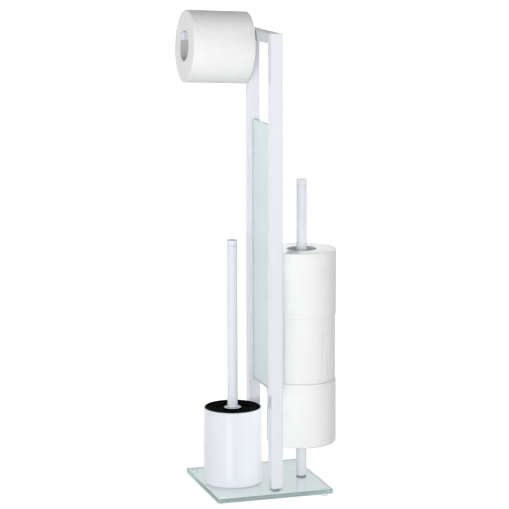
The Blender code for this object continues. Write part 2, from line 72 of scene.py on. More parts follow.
tilt_joint = next(joint for joint in frame["joints"] if joint["name"] == "hanging_roll_spin")

# How finely the surfaces are cut
round_sides = 96
small_sides = 48
fillet_steps = 4
corner_steps = 6
sharp_angle = 32.0
weld_distance = 0.000002
overrun = 0.004

# Glass
plate_corner = 0.003
plate_arris = 0.0007
panel_corner = 0.0004
panel_arris = 0.0004
# Height and half width of the painted shade line on the satin panel, standing in for its lower edge seen through
# it
painted_line_height = 0.0029
painted_line_width = 0.0008
bolt_hole_radius = 0.0036

# White steel tubes
tube_corner = 0.0015
tube_wall = 0.0012
tube_edge = 0.0006
slot_clearance = 0.0003
gasket_inset = 0.0002
gasket_edge = 0.0001
seat_fill = 0.00025
arm_corner = 0.001
arm_weld = 0.0012
arm_root_overlap = 0.0005
bar_overlap = 0.0003

# Caps, feet and the roll stop
cap_edge = 0.0011
cap_groove_drop = 0.0053
cap_groove_depth = 0.0003
cap_groove_width = 0.0006
foot_edge = 0.0026
stop_bore = 0.0083
stop_hub = 0.012
stop_thickness = 0.0025

# Brush holder
cup_wall = 0.0012
cup_floor_edge = 0.0012
cup_floor = 0.0014
cup_foot = 0.0007
rim_width = 0.0026
rim_rounding = 0.0012
bead_height = 0.0026
bead_step = 0.0003
liner_wall = 0.0018
liner_foot = 0.004
liner_ring_width = 0.0118
liner_recess_height = 0.0075
liner_ledge_depth = 0.0031
lid_thickness = 0.0018
lid_border = 0.0135
lid_step_depth = 0.0025
lid_boss = 0.01425
lid_edge = 0.0005
lid_rib_width = 0.0012
lid_rib_height = 0.0006
flange_thickness = 0.0006
flange_inset = 0.001

# Brush head
core_tip_radius = 0.012
bristle_seed = 11
tuft_rows = 15
tufts_in_row = 18
tufts_in_tip_rows = (4, 9, 14)
tip_slope = 80
strands_in_tuft = 9
strand_radius = 0.00028
strand_sides = 3
strand_steps = 4
tuft_hole_radius = 0.0011
tuft_spread = 0.0042
strand_root_depth = 0.0006
strand_droop = 0.0012
strand_taper_share = 0.25
shortest_strand_share = 0.965
envelope_rounding = 0.014
envelope_margin = 0.0003

# Tissue rolls
paper_turn_steps = 240
paper_end_steps = 32
paper_side_steps = 44
paper_edge_steps = 6
sheet_step = 0.0003
layer_pitch = 0.0011
layer_band_scale = 0.23
end_fluff = 0.00015
end_unevenness = 0.0002
end_shares = (0.55, 0.35, 0.2, 0.3)
side_unevenness = 0.0004
side_shares = (0.5, 0.4, 0.22)
wave_scale = 1.3
wave_rise = 9
ripple_scale = 5
ripple_rise = 26
fold_depth = 0.0004
fold_width = 0.08
fold_scale = 5.5
fold_rise = 14
fold_patch_scale = 2
fold_patch_rise = 20
roll_edge = 0.0007
tight_edge = 0.0003
ledge_edge = 0.0018
resting_edge = 0.0030
hanging_edge = 0.0022
middle_roll_trim = 0.0010
core_seam_pitch = 0.036
core_seam_depth = 0.00018
core_end_unevenness = 0.0003
core_steps = 60
crepe_turn_scale = 190
crepe_height_scale = 95
ring_pitch = 0.00042

# Camera, from the fit to the photograph of 509 by 509 pixels
photo_width = 509
sensor_width = 36
focal_length_pixels = 2209.54
camera_place = Vector((-0.985795, -3.14934, 0.95523))
camera_azimuth = -17.167
camera_pitch = 10.2265
camera_roll = -0.1424

# Light
floor_size = 30
floor_color = (0.93, 0.93, 0.93)
floor_roughness = 0.9
shadow_reach = 0.25
floor_glow = 1.23
floor_glow_share = 0.72
sky_color = (0.985, 0.99, 1.0)
horizon_light = 2.04
overhead_light = 0.18
light_fade_height = 0.6
mirrored_light = 0.6
reflector_glow = 2.6
reflector_start = 0.06
reflector_end = 0.6
reflector_half_angle = 9.0
reflector_lift = 0.0005
lamp_distance = 2.6
low_elevation = -1
key_box = (0.9, 0.6)
wide_box = (1.2, 0.6)
key_azimuth = -29.6
key_power = 23.2
paper_key_azimuth = -38
paper_key_power = 25.5
fill_azimuth = 12
fill_power = 0.8
side_azimuth = 80
side_elevation = 10
side_power = 28
beam_azimuth = 140
beam_elevation = 68
beam_box = (0.1, 0.1)
beam_power = 0.036
beam_spread = 4


class Nodes:
    """The shader nodes of a material or a world."""

    def __init__(self, owner):
        owner.use_nodes = True
        self.tree = owner.node_tree
        self.output = self.tree.nodes[f"{type(owner).__name__} Output"]

    def add(self, kind, *inputs, **settings):
        """A node with the given settings, its first inputs fed in their order."""
        node = self.tree.nodes.new("ShaderNode" + kind)
        for key, value in settings.items():
            setattr(node, key, value)
        for socket, value in zip(node.inputs, inputs):
            self.feed(socket, value)
        return node

    def feed(self, socket, value):
        """Links an output to the socket, or writes a plain value into it."""
        if isinstance(value, bpy.types.NodeSocket):
            self.tree.links.new(value, socket)
        else:
            socket.default_value = value

    def math(self, operation, first, second=0.0):
        return self.add("Math", first, second, operation=operation).outputs[0]

    def between(self, value, low, high, start=0.35, end=0.65):
        """Maps the span from start to end, by default that of a noise, to the span from low to high."""
        return self.add("MapRange", value, start, end, low, high).outputs[0]

    def split(self, vector):
        return self.add("SeparateXYZ", vector).outputs

    def glow(self, strength):
        return self.add("Emission", (1, 1, 1, 1), strength).outputs[0]

    def seen_directly(self, path):
        """1 for a camera, glossy or transmission ray, and 0 for the light that falls on things."""
        either = self.math("MAXIMUM", path["Is Camera Ray"], path["Is Glossy Ray"])
        return self.math("MAXIMUM", either, path["Is Transmission Ray"])

    def blend(self, share, first, second):
        """Shows the first shader where the share is 0 and the second where it is 1."""
        self.feed(self.output.inputs[0], self.add("MixShader", share, first, second).outputs[0])


class Finish(Nodes):
    """A procedural material on one Principled shader."""

    def __init__(self, name, color, roughness, **inputs):
        self.material = bpy.data.materials.new(name)
        super().__init__(self.material)
        self.shader = self.tree.nodes["Principled BSDF"]
        self.places = self.add("TexCoord").outputs["Object"]
        self.shader.inputs["Base Color"].default_value = (*color, 1)
        self.shader.inputs["Roughness"].default_value = roughness
        for key, value in inputs.items():
            self.shader.inputs[key.replace("_", " ")].default_value = value

    def stretched(self, shares):
        """The object's coordinates, stretched along each axis."""
        return self.add("VectorMath", self.places, shares, operation="MULTIPLY").outputs[0]

    def noise(self, scale, detail=2.0, rough=0.5, places=None):
        return self.add("TexNoise", places or self.places, 0, scale, detail, rough).outputs["Fac"]

    def mixed(self, share, first, second):
        """The first value where the share is 0 and the second where it is 1."""
        change = self.math("MULTIPLY", share, self.math("SUBTRACT", second, first))
        return self.math("ADD", first, change)

    def tint(self, share, first, second):
        node = self.add("Mix", data_type="RGBA")
        self.feed(node.inputs["Factor"], share)
        colors = [socket for socket in node.inputs if socket.type == "RGBA"]
        for socket, color in zip(colors, (first, second)):
            self.feed(socket, color if isinstance(color, bpy.types.NodeSocket) else (*color, 1))
        return [socket for socket in node.outputs if socket.type == "RGBA"][0]

    def color(self, socket):
        self.feed(self.shader.inputs["Base Color"], socket)

    def roughness(self, socket):
        self.feed(self.shader.inputs["Roughness"], socket)

    def drift(self, dark, light, *pattern):
        """Colour that wanders between two shades in a noise pattern."""
        self.color(self.tint(self.between(self.noise(*pattern), 0, 1), dark, light))

    def wear(self, low, high, *pattern):
        """Roughness that wanders between two values in a noise pattern."""
        self.roughness(self.between(self.noise(*pattern), low, high))

    def relief(self, *layers):
        """Bumps, each a (height, depth in metres), one over the other."""
        normal = None
        for height, depth in layers:
            node = self.add("Bump")
            self.feed(node.inputs["Height"], height)
            self.feed(node.inputs["Distance"], depth)
            if normal:
                self.feed(node.inputs["Normal"], normal)
            normal = node.outputs["Normal"]
        self.feed(self.shader.inputs["Normal"], normal)

    def about_axis(self):
        """Turn about the object's Z axis in full turns, distance from that axis, and height."""
        x, y, z = self.split(self.places)
        turn = self.math("DIVIDE", self.math("ARCTAN2", y, x), math.tau)
        squares = self.math("ADD", self.math("MULTIPLY", x, x), self.math("MULTIPLY", y, y))
        return turn, self.math("SQRT", squares), z

    def absorb(self, color, density):
        """Colour that the light loses inside the glass."""
        volume = self.add("VolumeAbsorption", (*color, 1), density)
        self.feed(self.output.inputs["Volume"], volume.outputs[0])


def white_steel():
    """Powder coat: a faint orange peel under a satin shine."""
    look = Finish("white_steel", (0.775, 0.797, 0.83), 0.24, Coat_Weight=0.35, Coat_Roughness=0.07)
    look.drift((0.77, 0.793, 0.827), (0.78, 0.801, 0.833), 22, 3)
    look.wear(0.22, 0.27, 160, 3)
    look.relief((look.noise(520, 1.5), 0.000004), (look.noise(4200, 1), 0.0000008))
    return look


def white_plastic():
    """Moulded cap, a touch warmer than the steel, with a fine spark-eroded grain."""
    look = Finish("white_plastic", (0.82, 0.835, 0.86), 0.38)
    look.drift((0.815, 0.83, 0.853), (0.825, 0.838, 0.859), 60, 2)
    look.wear(0.34, 0.46, 900, 2)
    look.relief((look.noise(3200, 2), 0.000008))
    return look


def clear_glass():
    """Float glass with matt ground edges and faint wipe marks on top; its edge faces are painted a paler teal as
    highlight and its arrises dark as shade.
    """
    look = Finish("clear_glass", (0.69, 0.765, 0.77), 0.0, Transmission_Weight=1.0, IOR=1.52)
    smear = look.noise(34, 4, 0.6, look.stretched((1, 0.35, 1)))
    polished = look.between(smear, 0.004, 0.03, 0.45, 0.75)
    facing = look.split(look.add("TexCoord").outputs["Normal"])[2]
    level = look.math("ABSOLUTE", facing)
    flat = look.between(level, 0, 1, 0.9, 0.99)
    # Arris faces, found by how steeply they face up, which take the painted shade
    arris_shade = look.between(level, 0, 1, 0.15, 0.4)
    ground = look.between(look.noise(900, 3), 0.82, 0.96)
    look.roughness(look.mixed(flat, ground, polished))
    # Painted light and shade on the edges: the edge faces a paler teal as highlight, the arris faces dark as shade
    edge = look.tint(arris_shade, (0.74, 0.925, 0.915), (0.16, 0.25, 0.24))
    look.color(look.tint(flat, edge, (0.69, 0.765, 0.77)))
    look.feed(look.shader.inputs["Transmission Weight"], look.mixed(flat, 0.7, 1.0))
    look.absorb((0.38, 0.58, 0.56), 3.0)
    return look


def satin_glass():
    """Acid-etched glass: milky and pale green-blue, with painted shade at its foot: a fine dark line for its lower
    edge seen through it, and a darker bottom arris.
    """
    look = Finish("satin_glass", (0.87, 0.955, 0.968), 0.5, Transmission_Weight=0.15, IOR=1.5)
    cloud = look.between(look.noise(9, 2), 0, 1)
    height = look.about_axis()[2]
    painted_line_low = painted_line_height - painted_line_width
    painted_line_high = painted_line_height + painted_line_width
    # Painted shade: a fine dark line just above the panel's foot, standing in for its lower edge seen through it,
    # and half as dark along the bottom arris
    below = look.between(height, 0, 1, painted_line_low, painted_line_height)
    above = look.between(height, 1, 0, painted_line_height, painted_line_high)
    rim = look.between(height, 0.5, 0, panel_arris, 2 * panel_arris)
    line = look.math("MAXIMUM", look.math("MULTIPLY", below, above), rim)
    etched = look.tint(cloud, (0.862, 0.948, 0.962), (0.878, 0.962, 0.974))
    # The dark colour of that painted shade
    look.color(look.tint(line, etched, (0.1, 0.15, 0.145)))
    look.wear(0.44, 0.56, 1800, 2)
    look.relief((look.noise(2600, 2), 0.000006))
    return look


def clear_rubber():
    """Soft clear bumper, slightly hazy."""
    look = Finish("clear_rubber", (0.97, 0.985, 0.98), 0.08, Transmission_Weight=1.0, IOR=1.4)
    look.wear(0.05, 0.16, 700, 2)
    return look


def matt_rubber(name, dark, light):
    """Extruded or cut rubber with a dusty bloom."""
    look = Finish(name, dark, 0.62)
    look.drift(dark, light, 240, 4)
    look.wear(0.52, 0.74, 1300, 2)
    look.relief((look.noise(2400, 3), 0.00001))
    return look


def seal_rubber():
    return matt_rubber("seal_rubber", (0.72, 0.77, 0.775), (0.78, 0.83, 0.835))


def gasket_rubber():
    return matt_rubber("gasket_rubber", (0.5, 0.515, 0.52), (0.56, 0.575, 0.58))


def zinc_steel():
    """Zinc plate with its spangle and turned marks."""
    look = Finish("zinc_steel", (0.62, 0.63, 0.65), 0.32, Metallic=1.0)
    look.drift((0.56, 0.565, 0.58), (0.68, 0.69, 0.72), 420, 4)
    look.wear(0.24, 0.42, 900, 2)
    look.relief((look.noise(5200, 1, 0.5, look.stretched((1, 1, 0.1))), 0.000004))
    return look


def black_plastic():
    """Black polypropylene: semi-gloss, with a faint moulded grain."""
    look = Finish("black_plastic", (0.003, 0.003, 0.0033), 0.3, Specular_IOR_Level=0.001)
    look.drift((0.002, 0.002, 0.0023), (0.004, 0.004, 0.0043), 90, 3)
    look.wear(0.26, 0.36, 650, 3)
    look.relief((look.noise(2100, 2), 0.000007))
    return look


def grey_plastic():
    """Moulded nylon of the inserts and washers."""
    look = Finish("grey_plastic", (0.55, 0.56, 0.57), 0.5)
    look.drift((0.52, 0.53, 0.54), (0.58, 0.59, 0.6), 300, 3)
    look.wear(0.42, 0.58, 900, 2)
    look.relief((look.noise(2600, 2), 0.000008))
    return look


def bristle():
    """Dark nylon strands that shine along their length and pale a little towards their tips."""
    look = Finish("bristle", (0.02, 0.02, 0.022), 0.42)
    radius = look.about_axis()[1]
    worn = look.between(radius, 0, 1, core_tip_radius, 3 * core_tip_radius)
    look.color(look.tint(worn, (0.014, 0.014, 0.016), (0.034, 0.034, 0.038)))
    look.wear(0.34, 0.52, 1500, 2)
    return look


def tissue():
    """Soft crepe paper, creped along the roll. Its wound layers show as rings on the ends."""
    look = Finish("tissue", (0.9, 0.9, 0.893), 0.95, Sheen_Weight=0.08, Sheen_Roughness=0.6)
    turn, radius, height = look.about_axis()
    around = look.math("MULTIPLY", turn, crepe_turn_scale)
    along = look.math("MULTIPLY", height, crepe_height_scale)
    wound = look.add("CombineXYZ", around, along).outputs[0]
    crepe = look.noise(1.0, 4, 0.62, wound)
    flock = look.noise(1500, 5, 0.7)
    wobble = look.math("MULTIPLY", look.noise(130, 3), 1.6)
    layer = look.math("ADD", look.math("DIVIDE", radius, ring_pitch), look.math("ADD", turn, wobble))
    rings = look.math("SINE", look.math("MULTIPLY", layer, math.tau))
    look.drift((0.885, 0.885, 0.876), (0.905, 0.905, 0.9), 48, 4)
    look.relief((crepe, 0.00022), (flock, 0.00012), (rings, 0.00006))
    return look


def cardboard():
    """Grey board of a roll's core, wound in a spiral whose lap shows as a thin dark line."""
    look = Finish("cardboard", (0.62, 0.605, 0.62), 0.9)
    turn, _, height = look.about_axis()
    laps = look.math("DIVIDE", height, core_seam_pitch)
    spiral = look.math("FRACT", look.math("SUBTRACT", laps, turn))
    lap = look.between(spiral, 1, 0, 0.0, 0.03)
    flecks = look.between(look.noise(700, 5, 0.65), 0, 1)
    board = look.tint(flecks, (0.59, 0.575, 0.59), (0.65, 0.635, 0.65))
    look.color(look.tint(look.math("MULTIPLY", lap, 0.5), board, (0.4, 0.38, 0.38)))
    look.relief((look.noise(1100, 4, 0.6), 0.00006))
    return look


# The functions above that have the name of a material slot
slot_finishes = (
    white_steel, white_plastic, clear_glass, satin_glass, clear_rubber, seal_rubber, gasket_rubber,
    zinc_steel, black_plastic, grey_plastic, bristle, tissue, cardboard,
)
finishes = {make.__name__: make().material for make in slot_finishes}


def upright(node):
    """Place of an upright node: on its own axis, at its lowest level."""
    low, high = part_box(node)
    return Matrix.Translation(((low.x + high.x) / 2, (low.y + high.y) / 2, low.z))


def tilted():
    """Place of what lies along the arm: its Z runs up the arm from the roll's inner end."""
    along = -Vector(tilt_joint["axis"]).normalized()
    side = Vector((0, 1, 0))
    turn = Matrix((side.cross(along), side, along)).transposed()
    return Matrix.Translation(tilt_joint["pos_m"]) @ turn.to_4x4()


def points_in(node, place):
    """The corner points of a node's solid, in the coordinates of a place."""
    inverse = place.inverted()
    return [inverse @ vertex.co for vertex in frame["nodes"][node].data.vertices]


def measured(node, place):
    """Lowest and highest corner of a node's solid, in the coordinates of a place."""
    points = points_in(node, place)
    low = Vector([min(point[axis] for point in points) for axis in range(3)])
    high = Vector([max(point[axis] for point in points) for axis in range(3)])
    return low, high


def seat(node):
    """An upright node's place, and its highest corner there."""
    place = upright(node)
    return place, measured(node, place)[1]


def placed(name, data):
    """A new object in the scene."""
    obj = bpy.data.objects.new(name, data)
    bpy.context.scene.collection.objects.link(obj)
    return obj


def turns(count):
    """Even turns once round."""
    return [math.tau * step / count for step in range(count)]


def swung(radius, turn, height):
    """Point at a distance from Z, a turn about it and a height."""
    return radius * math.cos(turn), radius * math.sin(turn), height


def rotation(angle, axis):
    return Matrix.Rotation(math.radians(angle), 4, axis)


def settled(name, work):
    """Mesh of the finished work, smooth but for its sharp edges."""
    bmesh.ops.recalc_face_normals(work, faces=work.faces)
    mesh = bpy.data.meshes.new(name)
    work.to_mesh(mesh)
    work.free()
    mesh.shade_smooth()
    mesh.set_sharp_from_angle(angle=math.radians(sharp_angle))
    return mesh


def skinned(name, rings, closed=False):
    """Surface over rings of points, each joined to the next. A ring of one point closes it there."""
    work = bmesh.new()
    loops = [[work.verts.new(point) for point in ring] for ring in rings]
    if closed:
        loops.append(loops[0])
    for first, second in zip(loops, loops[1:]):
        sides = max(len(first), len(second))
        for step in range(sides):
            following = (step + 1) % sides
            corners = (
                first[step % len(first)],
                first[following % len(first)],
                second[following % len(second)],
                second[step % len(second)],
            )
            corners = list(dict.fromkeys(corners))
            if len(corners) > 2:
                work.faces.new(corners)
    return settled(name, work)


def filleted(points, closed=False):
    """An outline of (x, y) points, with the corner rounded at each point that has a third value."""
    outline = []
    for index, point in enumerate(points):
        corner = Vector(point[:2])
        inner = closed or 0 < index < len(points) - 1
        if len(point) < 3 or not inner:
            outline.append(corner)
            continue
        before = Vector(points[index - 1][:2]) - corner
        after = Vector(points[(index + 1) % len(points)][:2]) - corner
        start = corner + before.normalized() * min(point[2], before.length / 2)
        end = corner + after.normalized() * min(point[2], after.length / 2)
        for step in range(fillet_steps + 1):
            share = step / fillet_steps
            outline.append(start.lerp(corner, share).lerp(corner.lerp(end, share), share))
    return outline


def turned(name, points, sides=round_sides):
    """Outline of (radius, height) points, turned about Z. It closes on itself unless it starts on Z."""
    closed = points[0][0] > 0
    rings = []
    for radius, height in filleted(points, closed):
        if radius < weld_distance:
            rings.append([(0, 0, height)])
        else:
            rings.append([swung(radius, turn, height) for turn in turns(sides)])
    return skinned(name, rings, closed)


def drill(radius, bottom, top):
    """Round cutter about Z."""
    return turned("drill", [(0, bottom), (radius, bottom), (radius, top), (0, top)], small_sides)


def plan(width, depth, corner, height):
    """Ring of a rounded rectangle about Z, at a height."""
    ring = []
    for quarter, (side_x, side_y) in enumerate(((1, 1), (-1, 1), (-1, -1), (1, -1))):
        for step in range(corner_steps + 1):
            angle = (quarter + step / corner_steps) * math.pi / 2
            x = side_x * (width / 2 - corner) + corner * math.cos(angle)
            y = side_y * (depth / 2 - corner) + corner * math.sin(angle)
            ring.append((x, y, height))
    return ring


def block(name, width, depth, bottom, top, corner, edge, weld=0):
    """Upright block with rounded corners and edges. A weld flares its lower end."""
    outline = [(0, bottom), (width / 2, bottom, edge), (width / 2, top, edge), (0, top)]
    if weld:
        flare = [(width / 2 + weld, bottom), (width / 2, bottom, weld), (width / 2, bottom + 2 * weld)]
        outline[1:2] = flare
    rings = []
    for reach, height in filleted(outline):
        inset = width / 2 - reach
        if reach < weld_distance:
            rings.append([(0, 0, height)])
        else:
            rounding = max(corner - inset, weld_distance)
            rings.append(plan(width - 2 * inset, depth - 2 * inset, rounding, height))
    return skinned(name, rings)


def tube_bore(width, depth, bottom, top):
    """Cutter for the inside of a square tube."""
    wall = 2 * tube_wall
    return block("tube_bore", width - wall, depth - wall, bottom, top, tube_wall / 2, tube_wall / 4)


def cut(mesh, *cutters):
    """The mesh without what the cutters take away."""
    obj = placed(mesh.name, mesh)
    helpers = [placed(cutter.name, cutter) for cutter in cutters]
    for helper in helpers:
        obj.modifiers.new(helper.name, "BOOLEAN").object = helper
    graph = bpy.context.evaluated_depsgraph_get()
    result = bpy.data.meshes.new_from_object(obj.evaluated_get(graph))
    for used in (obj, *helpers):
        bpy.data.objects.remove(used)
    work = bmesh.new()
    work.from_mesh(result)
    bmesh.ops.remove_doubles(work, verts=work.verts, dist=weld_distance)
    return settled(mesh.name, work)


def show(node, mesh, place):
    """Puts a finished surface in the place of its CAD node, on its body and in its finish."""
    obj = placed(f"{node}_surface", mesh)
    obj.matrix_world = place
    mesh.materials.append(finishes[slot_of[node]])
    obj.modifiers.new("flat faces lead the shading", "WEIGHTED_NORMAL").keep_sharp = True
    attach(obj, body_of[node])
    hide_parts(node)


def moved(mesh, x=0.0, y=0.0, z=0.0):
    mesh.transform(Matrix.Translation((x, y, z)))
    return mesh


def make_base():
    """Clear plate with ground edges and bolt holes, on four clear domes."""
    place = upright("base_plate")
    low, high = measured("base_plate", place)
    size = high - low
    plate = block("base_plate", size.x, size.y, 0, size.z, plate_corner, plate_arris)
    holes = []
    for held in ("front_post_screw", "rear_post_screw", "rod_screw", "holder_screw"):
        offset = place.inverted() @ upright(held).translation
        hole = drill(bolt_hole_radius, -overrun, size.z + overrun)
        holes.append(moved(hole, offset.x, offset.y))
    show("base_plate", cut(plate, *holes), place)
    for node in ("foot_front_left", "foot_front_right", "foot_rear_left", "foot_rear_right"):
        place, high = seat(node)
        dome = [(0, high.z), (high.x, high.z, foot_edge / 4), (high.x, 0, foot_edge), (0, 0)]
        show(node, turned(node, dome, small_sides), place)


def make_post(node, facing):
    """Closed square tube with the panel's slot in the face towards the other post."""
    place, high = seat(node)
    width = 2 * high.x
    tube = block(node, width, width, 0, high.z, tube_corner, tube_edge)
    hollow = tube_bore(width, width, -overrun, high.z - tube_wall)
    seal_low, seal_high = measured("panel_seal_front", place)
    slot_width = seal_high.x - seal_low.x + 2 * slot_clearance
    bottom = seal_low.z - slot_clearance
    top = seal_high.z + slot_clearance
    slot = block("slot", slot_width, width, bottom, top, tube_wall / 4, tube_wall / 4)
    show(node, cut(tube, hollow, moved(slot, y=facing * width / 2)), place)


def gasket_outline(radius, height):
    """Ring of rubber that fills the gaps that the CAD leaves above and below it."""
    top = height + seat_fill
    return [
        (bolt_hole_radius, -seat_fill),
        (radius, -seat_fill, gasket_edge),
        (radius, top, gasket_edge),
        (bolt_hole_radius, top),
    ]


def make_gaskets():
    """Rubber under the posts and the rod, nearly as wide as they are."""
    for tube in ("front_post", "rear_post", "spare_rod"):
        node = f"{tube}_gasket"
        place, high = seat(node)
        half = measured(tube, place)[1].x - gasket_inset
        if tube == "spare_rod":
            show(node, turned(node, gasket_outline(half, high.z), small_sides), place)
            continue
        top = high.z + seat_fill
        pad = block(node, 2 * half, 2 * half, -seat_fill, top, tube_corner, gasket_edge)
        show(node, cut(pad, drill(bolt_hole_radius, -overrun, top + overrun)), place)


def make_top_bar():
    """Square tube between the posts, its ends set on their faces."""
    low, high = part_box("top_bar")
    centre = (low + high) / 2
    size = high - low
    half = size.y / 2 + bar_overlap
    mesh = block("top_bar", size.x, size.z, -half, half, tube_corner, weld_distance)
    hollow = tube_bore(size.x, size.z, -half - overrun, half + overrun)
    show("top_bar", cut(mesh, hollow), Matrix.Translation(centre) @ rotation(-90, "X"))


def make_panel():
    low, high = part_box("glass_panel")
    size = high - low
    mesh = block("glass_panel", size.x, size.y, 0, size.z, panel_corner, panel_arris)
    show("glass_panel", mesh, upright("glass_panel"))


def make_arm():
    """Square tube welded to the rear post, with a plug cap in its tip."""
    place = tilted()
    low, high = measured("paper_arm", place)
    centre = Vector(((low.x + high.x) / 2, (low.y + high.y) / 2, 0))
    width = high.y - low.y
    root = low.z - arm_root_overlap
    tube = block("paper_arm", width, width, root, high.z, arm_corner, arm_corner / 4, arm_weld)
    hollow = tube_bore(width, width, root - overrun, high.z + overrun)
    arm_place = place @ Matrix.Translation(centre)
    show("paper_arm", cut(tube, hollow), arm_place)
    tip = measured("paper_arm", arm_place)[1].z
    top = measured("paper_arm_cap", arm_place)[1].z
    head = block("paper_arm_cap", width, width, tip, top, arm_corner, arm_corner / 2)
    show("paper_arm_cap", head, arm_place)


def make_tube(node):
    """Round tube, its cut edges slightly broken."""
    place, high = seat(node)
    bore = high.x - tube_wall
    corners = ((high.x, 0), (high.x, high.z), (bore, high.z), (bore, 0))
    outline = [(*corner, tube_wall / 5) for corner in corners]
    show(node, turned(node, outline, small_sides), place)


def make_cap(node):
    """Cap with a rounded top and a shallow groove, its plug down inside the tube."""
    place, high = seat(node)
    plug = high.x - tube_wall - slot_clearance
    rounding = cap_groove_depth / 2
    groove_top = high.z - cap_groove_drop
    groove_bottom = groove_top - cap_groove_width
    groove_radius = high.x - cap_groove_depth
    tube_top = measured(node.replace("_cap", ""), place)[1].z + slot_clearance
    outline = [
        (0, high.z),
        (high.x, high.z, cap_edge),
        (high.x, groove_top, rounding),
        (groove_radius, groove_top, rounding),
        (groove_radius, groove_bottom, rounding),
        (high.x, groove_bottom, rounding),
        (high.x, tube_top, rounding),
        (plug, tube_top),
        (plug, 0, cap_edge),
        (0, 0),
    ]
    show(node, turned(node, outline, small_sides), place)


def make_stop():
    """Pressed disc with a hub, on which the lowest spare roll stands."""
    place, high = seat("roll_stop")
    rounding = stop_thickness / 2
    disc_bottom = high.z - stop_thickness
    outline = [
        (high.x, high.z, rounding),
        (high.x, disc_bottom, rounding),
        (stop_hub, disc_bottom, rounding),
        (stop_hub, 0, tube_edge),
        (stop_bore, 0, tube_edge / 2),
        (stop_bore, high.z, tube_edge / 2),
    ]
    disc = turned("roll_stop", outline)
    low, high = measured("roll_stop_screw", place)
    hole = drill((high.x - low.x) / 2 + slot_clearance, 0, high.y + overrun)
    hole.transform(rotation(-90, "X"))
    show("roll_stop", cut(disc, moved(hole, y=stop_bore / 2, z=(low.z + high.z) / 2)), place)


def make_holder():
    """Steel cup with a rolled rim, the pad that shows as a line under it, and its black liner."""
    place, high = seat("holder_cup")
    radius = high.x
    side = radius - bead_step
    under_bead = high.z - bead_height
    inner = side - cup_wall
    lip = radius - rim_width
    under_lip = high.z - rim_width
    outline = [
        (bolt_hole_radius, 0),
        (side, 0, cup_foot),
        (side, under_bead, bead_step),
        (radius, under_bead, bead_step),
        (radius, high.z, rim_rounding),
        (lip, high.z, rim_rounding),
        (lip, under_lip, rim_rounding / 2),
        (inner, under_lip, rim_rounding / 4),
        (inner, cup_floor, cup_floor_edge),
        (bolt_hole_radius, cup_floor),
    ]
    show("holder_cup", turned("holder_cup", outline), place)

    place, high = seat("holder_pad")
    show("holder_pad", turned("holder_pad", gasket_outline(side - cup_foot, high.z)), place)

    place, high = seat("holder_liner")
    mouth = high.x
    shaft = mouth - liner_wall
    inside = shaft - liner_wall
    recess = shaft - liner_ring_width
    recess_top = liner_recess_height + liner_wall
    ledge = high.z - liner_ledge_depth
    outline = [
        (0, recess_top),
        (recess + liner_wall, recess_top, liner_wall),
        (recess + liner_wall, liner_wall, liner_wall),
        (inside, liner_wall, liner_foot),
        (inside, ledge, lid_edge),
        (shaft, ledge, lid_edge),
        (shaft, high.z, lid_edge),
        (mouth, high.z, lid_edge),
        (mouth, ledge - liner_wall, lid_edge),
        (shaft, ledge - liner_wall, lid_edge),
        (shaft, 0, liner_foot),
        (recess, 0, lid_edge),
        (recess, liner_recess_height, lid_edge),
        (0, liner_recess_height),
    ]
    show("holder_liner", turned("holder_liner", outline), place)


def make_brush():
    """Dished lid of the brush and the thin flange on it."""
    place, high = seat("brush_lid")
    radius = high.x
    step = radius - lid_border
    floor = high.z - lid_step_depth
    under_border = high.z - lid_thickness
    rib = radius - lid_rib_width
    under_rib = high.z - lid_rib_height
    boss_top = measured("brush_flange", place)[1].z - flange_thickness
    outline = [
        (bolt_hole_radius, boss_top),
        (lid_boss, boss_top, lid_edge),
        (lid_boss, floor, lid_edge),
        (step, floor, lid_step_depth / 2),
        (step, under_rib, lid_step_depth / 2),
        (rib, under_rib, lid_edge),
        (rib, high.z, lid_edge),
        (radius, high.z, lid_edge),
        (radius, under_border, lid_edge),
        (step + lid_thickness, under_border, lid_edge),
        (step + lid_thickness, 0, lid_step_depth / 2),
        (bolt_hole_radius, 0),
    ]
    show("brush_lid", turned("brush_lid", outline), place)

    place, high = seat("brush_flange")
    rim = high.x - flange_inset
    underside = high.z - flange_thickness
    outline = [
        (rim, underside, flange_thickness / 2),
        (rim, high.z, flange_thickness / 2),
        (bolt_hole_radius, high.z),
        (bolt_hole_radius, underside),
    ]
    show("brush_flange", turned("brush_flange", outline), place)


def make_round_copy(node):
    """The node's own solid, welded and shaded smooth, for a shape that is right as it is."""
    work = bmesh.new()
    work.from_mesh(frame["nodes"][node].data)
    bmesh.ops.remove_doubles(work, verts=work.verts, dist=weld_distance)
    place = upright(node)
    work.transform(place.inverted())
    show(node, settled(node, work), place)


def tuft_root(row, turn, core_low, core_high):
    """Where a tuft leaves the core, and which way it points."""
    tip_rows = len(tufts_in_tip_rows)
    if row < tip_rows:
        slope = math.radians(tip_slope * (row / tip_rows - 1))
        radius = core_tip_radius * math.cos(slope)
        height = core_low + core_tip_radius * (1 + math.sin(slope))
    else:
        slope = 0
        radius = core_tip_radius
        share = (row - tip_rows) / (tuft_rows - tip_rows)
        height = core_low + core_tip_radius + share * (core_high - core_low - core_tip_radius)
    away = Vector(swung(1, turn, 0))
    direction = away * math.cos(slope) + Vector((0, 0, math.sin(slope)))
    return away * radius + Vector((0, 0, height)), direction


def strand_length(root, direction, envelope):
    """How far a strand runs before it meets the trimmed outside of the brush head."""
    radius, bottom, top = envelope
    length = 0
    half = (top - bottom) / 2 - envelope_rounding
    centre = (top + bottom) / 2
    while True:
        point = root + direction * (length + strand_radius)
        out = max(math.hypot(point.x, point.y) - (radius - envelope_rounding), 0)
        up = max(abs(point.z - centre) - half, 0)
        if math.hypot(out, up) > envelope_rounding:
            return length
        length += strand_radius


